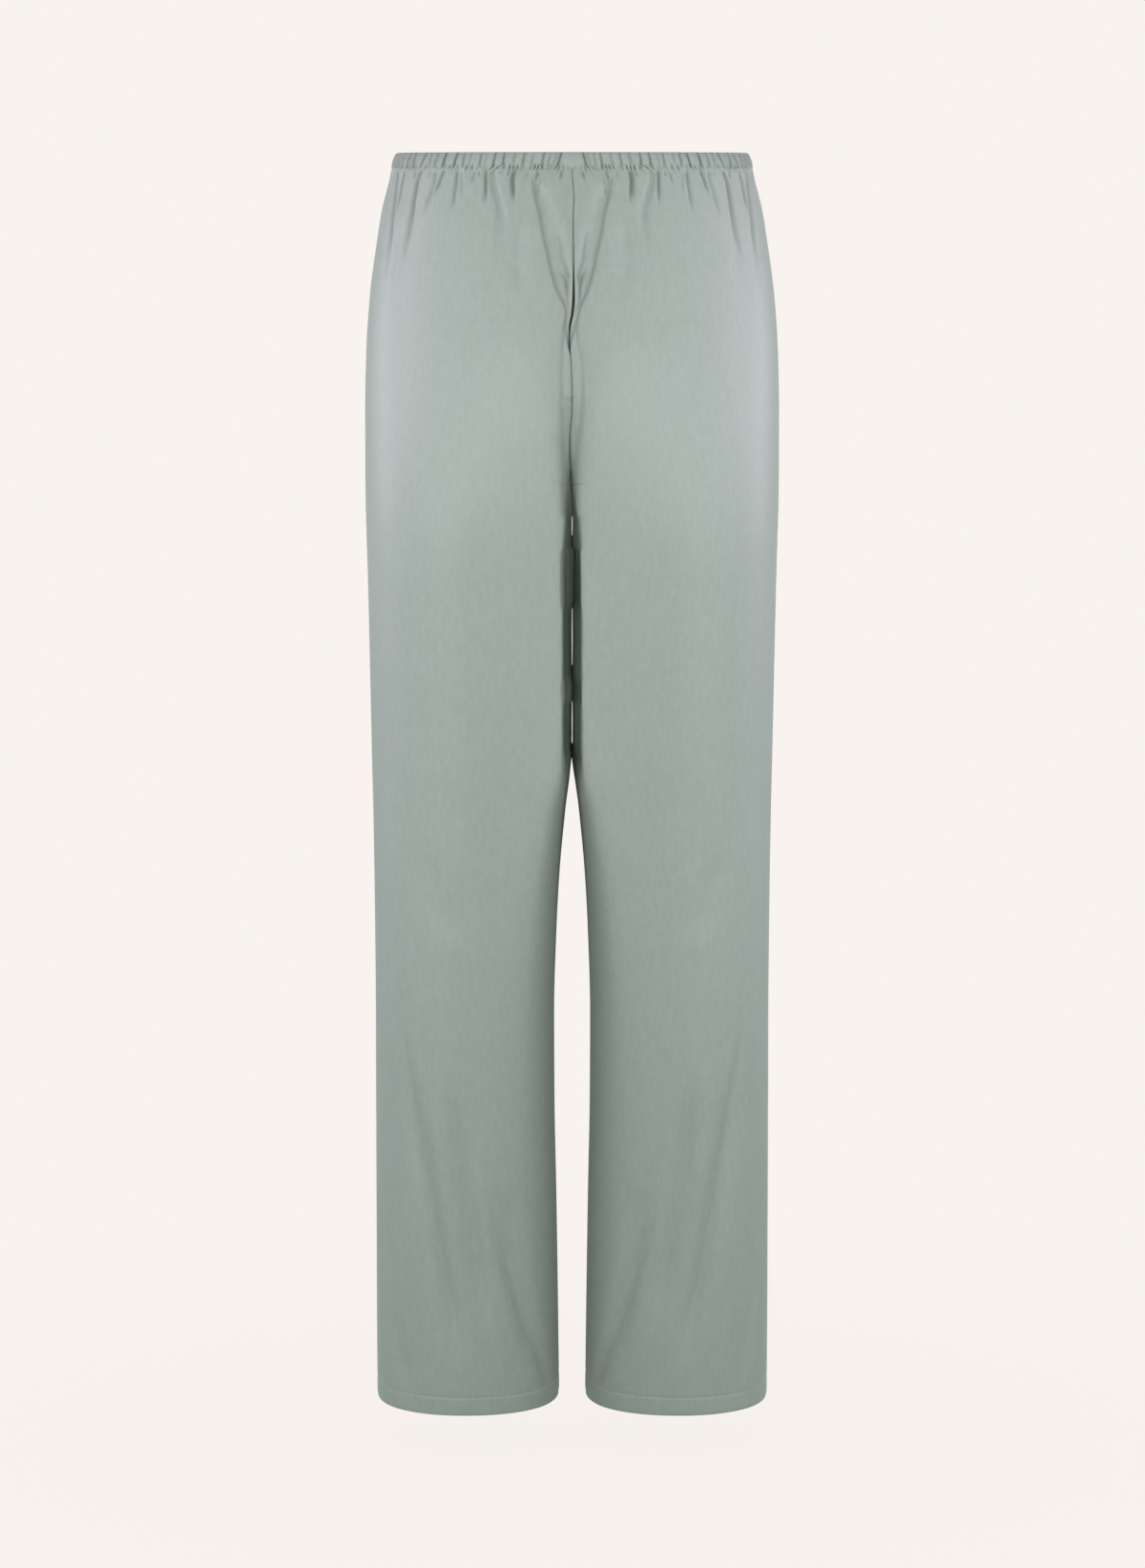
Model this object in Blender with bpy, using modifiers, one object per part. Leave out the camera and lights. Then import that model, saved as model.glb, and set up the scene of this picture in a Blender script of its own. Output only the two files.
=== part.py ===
"""Pull-on satin trousers, hollow as they are worn, with nobody in them.

Metres, +Z up. The origin is the middle of the waist at mid height of the elastic casing.
The back of the trousers faces -Y and the wearer's left is at -X. "Drop" is the distance
below the origin, and "across" is the distance along the cloth from a panel's side seam.

The garment is five sewn pieces: a gathered waist casing, two back panels and two front
panels. A panel runs from the side seam to the centre seam, and below the crotch from the
side seam to the inseam. It is a loft of level rows, given a wall inwards.
"""

import math
from collections import namedtuple

import bmesh
import bpy

MM = 0.001

# Driving sizes.
CASING_TOP = 6 * MM  # above the origin
CASING_FOOT = 6.5 * MM  # below it
CASING_WALL = 2.2 * MM  # folded satin round its elastic
CASING_PROUD = 0.4 * MM
CASING_PUFF = 0.7 * MM
HEM_DROP = 1040.3 * MM
HEM_TURN_UP = 15 * MM
HEM_WALL = 2.4 * MM  # two layers
PANEL_WALL = 1.3 * MM
SEAM_GAP = 0.3 * MM
FRONT_DIP = 12 * MM  # the waist is lower at the centre front
FRONT_DIP_ENDS = 120 * MM  # drop where the panels no longer follow that dip
CROTCH_DROP = 262.5 * MM
SQUARENESS = 2.25  # 2 is an ellipse, more is boxier
SEAM_EASE = 6 * MM  # folds die away this far from a seam

# Half of the garment's outline, seen level: half the width over both legs, half the gap
# between the legs, and how far the back and the front stand out from the side seams. A leg's
# inner side is pressed against the other leg's: the more "corner" is, the tighter the cloth
# turns into it, and the more "wall" is, the straighter it runs in from there.
Section = namedtuple("Section", "drop half_width half_gap back front corner wall")
SECTIONS = [
    Section(-6.0, 145.5, 0.2, 101.0, 96.0, 2.25, 2.25),
    Section(6.5, 149.3, 0.2, 104.0, 98.5, 2.25, 2.25),
    Section(17, 151.5, 0.2, 106.5, 100.0, 2.25, 2.25),
    Section(41, 157.2, 0.2, 111.5, 102.5, 2.25, 2.25),
    Section(65, 161.2, 0.2, 116.0, 104.5, 2.25, 2.25),
    Section(112, 167.7, 0.2, 124.0, 106.5, 2.3, 2.25),
    Section(160, 171.1, 0.2, 129.5, 107.0, 4.0, 2.3),
    Section(207, 172.1, 0.3, 131.0, 106.0, 9.0, 2.5),
    Section(262, 172.1, 0.4, 127.5, 104.5, 16.0, 2.6),
    Section(350, 170.2, 0.5, 118.0, 101.5, 22.0, 2.7),
    Section(450, 168.2, 0.6, 108.5, 98.5, 24.0, 2.8),
    Section(494, 167.4, 1.2, 105.0, 97.0, 20.0, 2.8),
    Section(542, 166.5, 6.4, 101.0, 95.5, 14.0, 2.8),
    Section(591, 165.9, 10.7, 98.0, 94.0, 9.0, 2.8),
    Section(640, 165.5, 13.1, 95.5, 92.5, 6.5, 2.8),
    Section(712, 165.2, 15.1, 92.0, 90.0, 4.8, 2.8),
    Section(785, 165.3, 14.8, 89.0, 87.5, 3.9, 2.8),
    Section(867, 165.3, 13.3, 86.5, 85.5, 3.4, 2.8),
    Section(950, 165.3, 12.1, 84.5, 84.0, 3.1, 2.75),
    Section(1040.3, 165.0, 11.0, 82.5, 82.5, 2.9, 2.7),
]

# Where the seat turns into two legs. The centre seam leaves the outline at seam_top and
# curves under to the crotch. The rest of the row turns from seat to leg between body_top
# and body_foot. The cleft pulls the centre seam further in.
Seat = namedtuple("Seat", "seam_top body_top body_foot cleft cleft_width")
SEATS = {
    "back": Seat(80 * MM, 120 * MM, 340 * MM, 8 * MM, 9 * MM),
    "front": Seat(110 * MM, 150 * MM, 360 * MM, 0.0, 9 * MM),
}
CLEFT_TOP = 105 * MM
CLEFT_FULL = 150 * MM
CLEFT_EASES = 215 * MM
CLEFT_ENDS = 255 * MM

# Gathers of one half of the casing, in mm: across at the casing, how deep and wide, how
# far below the casing it runs, and how far it drifts to the centre on the way.
Gather = namedtuple("Gather", "across depth width run drift")
GATHERS = {
    "back": [
        Gather(14, 0.9, 2.2, 18, 1),
        Gather(27, 1.2, 2.4, 60, 12),
        Gather(38, 1.5, 2.4, 70, 9),
        Gather(46, 1.0, 2.0, 14, 1),
        Gather(56, 1.7, 2.6, 95, 18),
        Gather(66, 1.0, 2.0, 20, 4),
        Gather(75, 1.1, 2.1, 16, 3),
        Gather(83, 1.5, 2.4, 65, 12),
        Gather(90, 0.9, 2.0, 14, 2),
        Gather(97, 1.6, 2.5, 20, 3),
        Gather(106, 1.6, 2.6, 48, 12),
        Gather(114, 1.7, 2.5, 16, 2),
        Gather(123, 1.3, 2.4, 28, 2),
        Gather(131, 1.7, 2.6, 62, 16),
        Gather(140, 1.9, 2.8, 66, 22),
        Gather(148, 1.5, 2.4, 15, 3),
        Gather(157, 2.2, 3.2, 36, 9),
        Gather(165, 1.5, 2.6, 90, 20),
        Gather(173, 1.6, 2.6, 20, 4),
        Gather(181, 1.5, 2.4, 30, 4),
        Gather(187, 1.2, 2.0, 12, 1),
        Gather(193, 1.8, 2.2, 45, 22),
    ],
    "front": [
        Gather(12, 0.9, 2.1, 16, 1),
        Gather(22, 1.3, 2.3, 40, 5),
        Gather(33, 1.6, 2.5, 72, 10),
        Gather(43, 1.0, 2.0, 15, 2),
        Gather(52, 1.5, 2.4, 58, 9),
        Gather(61, 1.1, 2.1, 20, 3),
        Gather(70, 1.7, 2.6, 90, 14),
        Gather(81, 1.0, 2.1, 16, 2),
        Gather(91, 1.6, 2.5, 44, 6),
        Gather(100, 1.2, 2.2, 18, 2),
        Gather(110, 1.8, 2.7, 68, 9),
        Gather(119, 1.1, 2.1, 15, 1),
        Gather(129, 1.4, 2.4, 52, 7),
        Gather(138, 1.8, 2.6, 24, 2),
        Gather(148, 1.3, 2.3, 80, 12),
        Gather(157, 1.6, 2.5, 20, 2),
        Gather(167, 2.0, 2.9, 46, 5),
        Gather(177, 1.3, 2.3, 64, 10),
        Gather(186, 1.6, 2.4, 22, 2),
        Gather(194, 1.2, 2.1, 34, 2),
    ],
}
GATHER_SPREADS = 60 * MM  # a gather is twice as wide this far below the casing

# The largest folds of one half, in mm: its two ends (across and drop), how far it bows
# towards the side seam between them, how deep it is (less than 0 for a ridge) and how wide.
Fold = namedtuple("Fold", "across drop foot_across foot_drop bow depth width")
FOLDS = {
    "back": [
        Fold(174, 8, 238, 134, 0, 3.6, 6.0),
        Fold(198, 30, 232, 96, -2, 1.6, 7.0),
        Fold(74, 500, 64, 790, 0, -2.4, 14.0),
        Fold(106, 560, 130, 645, 2, 1.6, 11.0),
        Fold(82, 745, 126, 1010, 0, 4.2, 11.0),
        Fold(121, 755, 148, 975, 3, 3.4, 10.0),
        Fold(160, 835, 190, 1015, 3, 2.8, 10.0),
    ],
    "front": [
        Fold(152, 120, 210, 225, -6, 3.0, 10.0),
        Fold(176, 175, 214, 245, -4, 2.2, 8.0),
        Fold(70, 470, 62, 770, 0, -2.2, 14.0),
        Fold(118, 540, 142, 650, 3, 2.2, 12.0),
        Fold(90, 770, 128, 1000, 2, 3.6, 11.0),
        Fold(136, 800, 160, 985, 3, 3.0, 10.0),
    ],
}
FOLD_END = 0.28  # share of a fold's run over which it deepens, and over which it fades

# Rows of a panel below its top, in mm, and how many columns each has.
Row = namedtuple("Row", "drop back front")
TOP_ROWS = [7.0, 17, 33]  # their columns follow the gathers
ROWS = [
    Row(55, 40, 38),
    Row(80, 34, 30),
    Row(105, 28, 24),
    Row(132, 24, 20),
    Row(160, 22, 17),
    Row(185, 20, 16),
    Row(207, 20, 16),
    Row(226.5, 20, 16),
    Row(243, 20, 16),
    Row(254.5, 20, 16),
    Row(260.5, 20, 16),
    Row(262.5, 20, 16),
    Row(285, 20, 16),
    Row(325, 20, 16),
    Row(375, 20, 16),
    Row(430, 20, 16),
    Row(490, 20, 16),
    Row(530, 20, 16),
    Row(575, 20, 16),
    Row(640, 20, 16),
    Row(715, 20, 16),
    Row(785, 20, 16),
    Row(845, 20, 16),
    Row(900, 20, 16),
    Row(950, 20, 16),
    Row(995, 20, 16),
    Row(1024.0, 20, 16),
    Row(1025.3, 20, 16),
    Row(1040.3, 20, 16),
]
CURVE_STEPS = 160  # fineness of the curve that a row's columns are read from
SEAM_REACH = 10  # more keeps the turn of the centre seam closer to that seam

# Columns of one gather, as shares of the way to the next one: its trough, then its puff.
CASING_PUFFS = (0.0, 0.36, 0.64)
PANEL_PUFFS = (0.0, 0.5)

SATIN = {"colour": (0.245, 0.262, 0.205, 1.0), "roughness": 0.38, "sheen": 0.35}


def smooth(value):
    """0 to 1 with a soft start and end."""
    value = max(0.0, min(1.0, value))
    return value * value * (3 - 2 * value)


def section_size(name, drop):
    """A column of SECTIONS in metres, on a smooth curve through its rows."""
    return section_value(name, drop) * MM


def section_value(name, drop):
    drops = [row.drop * MM for row in SECTIONS]
    sizes = [getattr(row, name) for row in SECTIONS]
    if drop <= drops[0]:
        return sizes[0]
    if drop >= drops[-1]:
        return sizes[-1]
    slopes = [(b - a) / (y - x) for a, b, x, y in zip(sizes, sizes[1:], drops, drops[1:])]

    def tangent(row):
        if row == 0 or row == len(slopes):
            return slopes[min(row, len(slopes) - 1)]
        before, after = slopes[row - 1], slopes[row]
        return 2 * before * after / (before + after) if before * after > 0 else 0.0

    row = max(k for k in range(len(slopes)) if drops[k] <= drop)
    height = drops[row + 1] - drops[row]
    s = (drop - drops[row]) / height
    rise = sizes[row + 1] - sizes[row]
    start, end = tangent(row) * height, tangent(row + 1) * height
    return sizes[row] + s * start + s * s * (3 * rise - 2 * start - end) + s**3 * (start + end - 2 * rise)


def level_curve(face, drop):
    """Points (x, y out from the side seam) of the left half's outside, side seam to centre.

    High up it is a quarter of the body's ring. Below the crotch it is half of a leg's ring.
    """
    seat = SEATS[face]
    half_width = section_size("half_width", drop)
    half_gap = section_size("half_gap", drop)
    depth = section_size(face, drop)
    corner, wall = section_value("corner", drop), section_value("wall", drop)
    leg_middle, leg_half = -(half_width + half_gap) / 2, (half_width - half_gap) / 2
    body_share = smooth((drop - seat.body_top) / (seat.body_foot - seat.body_top))
    down_seam = max(0.0, min(1.0, (drop - seat.seam_top) / (CROTCH_DROP - seat.seam_top)))
    seam_share = 1 - math.sqrt(1 - down_seam**2)
    cleft = seat.cleft * smooth((drop - CLEFT_TOP) / (CLEFT_FULL - CLEFT_TOP))
    cleft *= 1 - smooth((drop - CLEFT_EASES) / (CLEFT_ENDS - CLEFT_EASES))
    points = []
    for step in range(CURVE_STEPS + 1):
        way = step / CURVE_STEPS
        share = body_share + (seam_share - body_share) * way**SEAM_REACH
        if 2 * step <= CURVE_STEPS:
            turn = math.pi * way
            x = leg_middle - leg_half * abs(math.cos(turn)) ** (2 / SQUARENESS)
            y_leg = math.sin(turn) ** (2 / SQUARENESS)
        else:
            inwards = 1 - (2 - 2 * way) ** 2
            x = leg_middle + leg_half * inwards
            y_leg = (1 - inwards**corner) ** (1 / wall)
        x += (1 - share) * half_gap * way**SEAM_REACH
        y_body = (1 - min(1.0, abs(x) / half_width) ** SQUARENESS) ** (1 / SQUARENESS)
        points.append((x, y_body + share * (y_leg - y_body)))
    fullest = max(y for _, y in points)
    return [
        (x, depth * y / fullest - cleft * math.exp(-((x / seat.cleft_width) ** 2)))
        for x, y in points
    ]


def gather_relief(face, across, drop):
    below = max(0.0, drop - CASING_FOOT)
    relief = 0.0
    for gather in GATHERS[face]:
        run = gather.run * MM
        place = gather_place(gather, drop)
        width = gather.width * MM * (1 + below / GATHER_SPREADS)
        fade = 1 - smooth(below / run)
        relief -= gather.depth * MM * fade * math.exp(-(((across - place) / width) ** 2))
    return relief


def gather_place(gather, drop):
    below = max(0.0, drop - CASING_FOOT)
    return (gather.across + gather.drift * min(1.0, below / (gather.run * MM))) * MM


def fold_relief(face, across, drop):
    relief = 0.0
    for fold in FOLDS[face]:
        way = (drop / MM - fold.drop) / (fold.foot_drop - fold.drop)
        if not 0 < way < 1:
            continue
        place = fold.across + way * (fold.foot_across - fold.across)
        place -= fold.bow * math.sin(math.pi * way)
        strength = smooth(way / FOLD_END) * smooth((1 - way) / FOLD_END)
        dent = math.exp(-(((across / MM - place) / fold.width) ** 2))
        relief -= fold.depth * MM * strength * dent
    return relief


def row_of_points(face, drop, places, extra=0.0):
    """Points of one level row of the left half, at these distances across, folds included."""
    curve = level_curve(face, drop)
    reached = [0.0]
    for (x, y), (next_x, next_y) in zip(curve, curve[1:]):
        reached.append(reached[-1] + math.hypot(next_x - x, next_y - y))
    length = reached[-1]
    outwards = -1 if face == "back" else 1
    points = []
    segment = 0
    for share in places(length):
        across = share * length
        while segment < CURVE_STEPS - 1 and reached[segment + 1] < across:
            segment += 1
        (x, y), (next_x, next_y) = curve[segment], curve[segment + 1]
        span = reached[segment + 1] - reached[segment]
        part = (across - reached[segment]) / span
        along_x, along_y = (next_x - x) / span, (next_y - y) / span
        ease = smooth(across / SEAM_EASE) * smooth((length - across) / SEAM_EASE)
        relief = extra + ease * (gather_relief(face, across, drop) + fold_relief(face, across, drop))
        x += part * (next_x - x) - along_y * relief
        y += part * (next_y - y) + along_x * relief
        x = min(x, -SEAM_GAP / 2)
        y = max(y, SEAM_GAP / 2)
        points.append((x, outwards * y, -drop - dip(face, share, drop)))
    return points


def dip(face, share, drop):
    """How much lower the waist lies at this share of the way to the centre front."""
    if face == "back":
        return 0.0
    fade = 1 - smooth((drop - CASING_FOOT) / (FRONT_DIP_ENDS - CASING_FOOT))
    return FRONT_DIP * fade * smooth(share)


def gather_columns(face, drop, puffs):
    """Shares of a row's length with a column in each gather and others on the puff beside it."""

    def places(length):
        stops = [0.0] + [gather_place(g, drop) / length for g in GATHERS[face]] + [1.0]
        shares = []
        for start, end in zip(stops, stops[1:]):
            shares += [start + (end - start) * puff for puff in puffs]
        return shares + [1.0]

    return places


def even_columns(count):
    return lambda length: [column / count for column in range(count + 1)]


def zip_rows(mesh, upper, lower):
    """Triangles between two rows of vertices that may differ in number."""
    first, second = 0, 0
    while first < len(upper) - 1 or second < len(lower) - 1:
        next_first = (first + 1) / (len(upper) - 1)
        next_second = (second + 1) / (len(lower) - 1)
        if next_first <= next_second:
            mesh.faces.new((upper[first], upper[first + 1], lower[second]))
            first += 1
        else:
            mesh.faces.new((upper[first], lower[second + 1], lower[second]))
            second += 1


def add_satin(name, part):
    material = bpy.data.materials.new(name)
    material.use_nodes = True
    shader = material.node_tree.nodes["Principled BSDF"]
    shader.inputs["Base Color"].default_value = SATIN["colour"]
    shader.inputs["Roughness"].default_value = SATIN["roughness"]
    shader.inputs["Metallic"].default_value = 0.0
    shader.inputs["Sheen Weight"].default_value = SATIN["sheen"]
    part.data.materials.append(material)


def add_cloth(name, mesh, collection, wall):
    """An object from an open surface, with its wall grown inwards."""
    data = bpy.data.meshes.new(name)
    mesh.to_mesh(data)
    mesh.free()
    data.shade_smooth()
    part = bpy.data.objects.new(name, data)
    collection.objects.link(part)
    shell = part.modifiers.new("wall", "SOLIDIFY")
    shell.thickness = wall
    shell.offset = -1
    add_satin(name + "_satin", part)
    return part


def trim_to_seams(part, face, side):
    """Keeps the wall of a panel on its own side of the centre seam and the side seams."""
    whole = part.evaluated_get(bpy.context.evaluated_depsgraph_get())
    walled = bpy.data.meshes.new_from_object(whole)
    outwards = -1 if face == "back" else 1
    for vertex in walled.vertices:
        vertex.co.x = side * max(side * vertex.co.x, SEAM_GAP / 2)
        vertex.co.y = outwards * max(outwards * vertex.co.y, SEAM_GAP / 2)
    part.modifiers.clear()
    part.data = walled


def make_panel(name, face, side, collection):
    """A back or front panel. side is -1 for the wearer's left and 1 for the right."""
    mesh = bmesh.new()
    rows = [(drop * MM, gather_columns(face, drop * MM, PANEL_PUFFS)) for drop in TOP_ROWS]
    rows += [(row.drop * MM, even_columns(getattr(row, face))) for row in ROWS]
    vertex_rows = []
    doubled = []
    for drop, places in rows:
        points = row_of_points(face, drop, places)
        vertex_rows.append([mesh.verts.new((-side * x, y, z)) for x, y, z in points])
        if drop > HEM_DROP - HEM_TURN_UP - SEAM_GAP:
            doubled += vertex_rows[-1]
    mesh.verts.index_update()
    doubled = [vertex.index for vertex in doubled]
    for upper, lower in zip(vertex_rows, vertex_rows[1:]):
        zip_rows(mesh, upper, lower)
    # The rows run from the side seam to the centre, so faces wind the wrong way round
    # on the left back and on the right front.
    if (face == "back") == (side < 0):
        bmesh.ops.reverse_faces(mesh, faces=mesh.faces)
    part = add_cloth(name, mesh, collection, HEM_WALL)
    part.vertex_groups.new(name="doubled").add(doubled, 1.0, "REPLACE")
    part.modifiers["wall"].vertex_group = "doubled"
    part.modifiers["wall"].thickness_vertex_group = PANEL_WALL / HEM_WALL
    trim_to_seams(part, face, side)


def make_casing(collection):
    """The gathered ring at the waist, in one piece."""
    mesh = bmesh.new()
    heights = [(-CASING_TOP, 0.0), (0.0, CASING_PUFF), (CASING_FOOT, 0.0)]
    rings = []
    for drop, puff in heights:
        quarters = {}
        for face in ("back", "front"):
            places = gather_columns(face, CASING_FOOT, CASING_PUFFS)
            quarters[face] = row_of_points(face, drop, places, CASING_PROUD + puff)
        back, front = quarters["back"], quarters["front"]
        # Once round: left side seam, centre back, right side, centre front, and back.
        ring = back[:-1] + [(0.0, back[-1][1], back[-1][2])]
        ring += [(-x, y, z) for x, y, z in reversed(back[1:-1])]
        ring += [(-front[0][0], 0.0, front[0][2])]
        ring += [(-x, y, z) for x, y, z in front[1:-1]]
        ring += [(0.0, front[-1][1], front[-1][2])]
        ring += list(reversed(front[1:-1]))
        ring[0] = (ring[0][0], 0.0, ring[0][2])
        rings.append([mesh.verts.new(point) for point in ring])
    for upper, lower in zip(rings, rings[1:]):
        count = len(upper)
        for k in range(count):
            after = (k + 1) % count
            mesh.faces.new((upper[k], lower[k], lower[after], upper[after]))
    add_cloth("waist_casing", mesh, collection, CASING_WALL)


def main():
    for old in list(bpy.data.objects):
        bpy.data.objects.remove(old, do_unlink=True)
    collection = bpy.data.collections.new("satin_trousers")
    bpy.context.scene.collection.children.link(collection)
    make_casing(collection)
    for face in ("back", "front"):
        make_panel(face + "_left", face, -1, collection)
        make_panel(face + "_right", face, 1, collection)


main()
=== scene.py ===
"""The looks of the satin trousers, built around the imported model.

Metres, +Z up, the back faces -Y, the wearer's left is at -X, and the origin is the middle of
the waist at mid height of the casing. "Drop" is the distance below the origin and "across"
the distance along the cloth from a panel's side seam. Sizes in the tables are in mm.

Each panel is one thin sheet on the form of its CAD solid, with its creases, turned seam
edges and turned-up hem. The sections, the large folds and the front's gathers are those of
part.py. On the back, tucks take the place of part.py's gathers and of its two folds over the
seat. The cleft is tighter here, the inner thighs turn in more sharply, and the hems rise.
"""

import math
from collections import namedtuple

import bmesh
import bpy
import numpy as np
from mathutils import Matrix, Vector


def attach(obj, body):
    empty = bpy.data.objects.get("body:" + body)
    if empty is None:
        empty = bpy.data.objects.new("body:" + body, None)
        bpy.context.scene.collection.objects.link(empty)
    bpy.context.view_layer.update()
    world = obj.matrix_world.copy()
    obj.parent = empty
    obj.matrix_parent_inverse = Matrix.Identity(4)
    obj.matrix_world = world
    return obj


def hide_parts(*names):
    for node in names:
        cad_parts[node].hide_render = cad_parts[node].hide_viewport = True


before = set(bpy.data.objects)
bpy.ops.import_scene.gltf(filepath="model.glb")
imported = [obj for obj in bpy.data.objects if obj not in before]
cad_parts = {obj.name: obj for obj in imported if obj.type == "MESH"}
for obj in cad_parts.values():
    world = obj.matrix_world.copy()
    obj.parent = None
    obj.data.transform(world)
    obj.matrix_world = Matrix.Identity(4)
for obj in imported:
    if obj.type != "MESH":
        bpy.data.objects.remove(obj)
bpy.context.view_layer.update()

MM = 0.001

# ---------------------------------------------------------------- sizes, as in part.py
CASING_TOP = 6.0  # above the origin
CASING_FOOT = 6.5  # below it
CASING_PROUD = 0.4
CASING_PUFF = 0.7
HEM_DROP = 1040.3
HEM_TURN_UP = 15.0
SEAM_GAP = 0.3
FRONT_DIP = 12.0
FRONT_DIP_ENDS = 120.0
CROTCH_DROP = 262.5
SQUARENESS = 2.25
SEAM_EASE = 6.0  # folds die away this far from a seam
SEAM_REACH = 10  # more keeps the turn of the centre seam closer to that seam

Section = namedtuple("Section", "drop half_width half_gap back front corner wall")
SECTIONS = [
    Section(-6.0, 145.5, 0.2, 101.0, 96.0, 2.25, 2.25),
    Section(6.5, 149.3, 0.2, 104.0, 98.5, 2.25, 2.25),
    Section(17, 151.5, 0.2, 106.5, 100.0, 2.25, 2.25),
    Section(41, 157.2, 0.2, 111.5, 102.5, 2.25, 2.25),
    Section(65, 161.2, 0.2, 116.0, 104.5, 2.25, 2.25),
    Section(112, 167.7, 0.2, 124.0, 106.5, 2.3, 2.25),
    Section(160, 171.1, 0.2, 129.5, 107.0, 4.0, 2.3),
    Section(207, 172.1, 0.3, 131.0, 106.0, 9.0, 2.5),
    Section(262, 172.1, 0.4, 127.5, 104.5, 16.0, 2.6),
    Section(350, 170.2, 0.5, 118.0, 101.5, 22.0, 2.7),
    Section(450, 168.2, 0.6, 108.5, 98.5, 24.0, 2.8),
    Section(494, 167.4, 1.2, 105.0, 97.0, 20.0, 2.8),
    Section(542, 166.5, 6.4, 101.0, 95.5, 14.0, 2.8),
    Section(591, 165.9, 10.7, 98.0, 94.0, 9.0, 2.8),
    Section(640, 165.5, 13.1, 95.5, 92.5, 6.5, 2.8),
    Section(712, 165.2, 15.1, 92.0, 90.0, 4.8, 2.8),
    Section(785, 165.3, 14.8, 89.0, 87.5, 3.9, 2.8),
    Section(867, 165.3, 13.3, 86.5, 85.5, 3.4, 2.8),
    Section(950, 165.3, 12.1, 84.5, 84.0, 3.1, 2.75),
    Section(1040.3, 165.0, 11.0, 82.5, 82.5, 2.9, 2.7),
]

# Where the seat turns into two legs. The back's cleft is tighter than in part.py.
Seat = namedtuple("Seat", "seam_top body_top body_foot cleft cleft_width")
SEATS = {
    "back": Seat(80, 120, 340, 3.5, 6),
    "front": Seat(110, 150, 360, 0, 9),
}
CLEFT = (105, 150, 215, 255)  # drops where it starts, is full, eases and ends

# Gathers of one half of the front's casing.
Gather = namedtuple("Gather", "across depth width run drift")
GATHERS = [
    Gather(12, 0.9, 2.1, 16, 1),
    Gather(22, 1.3, 2.3, 40, 5),
    Gather(33, 1.6, 2.5, 72, 10),
    Gather(43, 1.0, 2.0, 15, 2),
    Gather(52, 1.5, 2.4, 58, 9),
    Gather(61, 1.1, 2.1, 20, 3),
    Gather(70, 1.7, 2.6, 90, 14),
    Gather(81, 1.0, 2.1, 16, 2),
    Gather(91, 1.6, 2.5, 44, 6),
    Gather(100, 1.2, 2.2, 18, 2),
    Gather(110, 1.8, 2.7, 68, 9),
    Gather(119, 1.1, 2.1, 15, 1),
    Gather(129, 1.4, 2.4, 52, 7),
    Gather(138, 1.8, 2.6, 24, 2),
    Gather(148, 1.3, 2.3, 80, 12),
    Gather(157, 1.6, 2.5, 20, 2),
    Gather(167, 2.0, 2.9, 46, 5),
    Gather(177, 1.3, 2.3, 64, 10),
    Gather(186, 1.6, 2.4, 22, 2),
    Gather(194, 1.2, 2.1, 34, 2),
]
GATHER_SPREADS = 60  # a gather is twice as wide this far below the casing

Fold = namedtuple("Fold", "across drop foot_across foot_drop bow depth width")
FOLDS = {
    "back": [
        Fold(74, 500, 64, 790, 0, -2.4, 14.0),
        Fold(106, 560, 130, 645, 2, 1.6, 11.0),
        Fold(82, 745, 126, 1010, 0, 4.2, 11.0),
        Fold(121, 755, 148, 975, 3, 3.4, 10.0),
        Fold(160, 835, 190, 1015, 3, 2.8, 10.0),
    ],
    "front": [
        Fold(152, 120, 210, 225, -6, 3.0, 10.0),
        Fold(176, 175, 214, 245, -4, 2.2, 8.0),
        Fold(70, 470, 62, 770, 0, -2.2, 14.0),
        Fold(118, 540, 142, 650, 3, 2.2, 12.0),
        Fold(90, 770, 128, 1000, 2, 3.6, 11.0),
        Fold(136, 800, 160, 985, 3, 3.0, 10.0),
    ],
}
FOLD_END = 0.28  # share of a fold's run over which it deepens, and over which it fades

# ---------------------------------------------------------------- sizes only seen here
CURVE_STEPS = 420  # fineness of the curve that a row's columns are read from

HEM_RISE = 6.0  # the hem is this much higher at the inseam
SIDE_RISE = 3.0  # and this much at the side seam
HEM_RISE_TOP = 700  # drop where that starts
HEM_RISE_RUN = 340

# Soft creases too fine for the solids, in the same columns as FOLDS.
CREASES = {
    "back": [
        Fold(62, 30, 66, 120, 0, -0.7, 7.0),
        Fold(104, 30, 104, 130, 0, 0.6, 8.0),
        Fold(128, 30, 134, 110, 0, -0.5, 8.0),
        Fold(212, 40, 236, 96, 0, -0.9, 6.0),
        Fold(73, 680, 128, 1018, 0, 3.4, 4.5),
        Fold(124, 745, 153, 985, 3, 2.8, 4.5),
        Fold(150, 867, 215, 1045, 0, 3.4, 8.0),
        Fold(29, 860, 80, 1040, 0, 2.6, 8.5),
    ],
    "front": [
        Fold(18, 14, 10, 95, 3, 1.0, 3.5),
        Fold(46, 18, 38, 140, 3, 0.7, 7.0),
        Fold(82, 16, 78, 120, 0, 0.6, 9.0),
        Fold(124, 20, 132, 150, 0, 0.7, 9.0),
        Fold(168, 30, 190, 140, 0, 0.8, 8.0),
    ],
}

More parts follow.
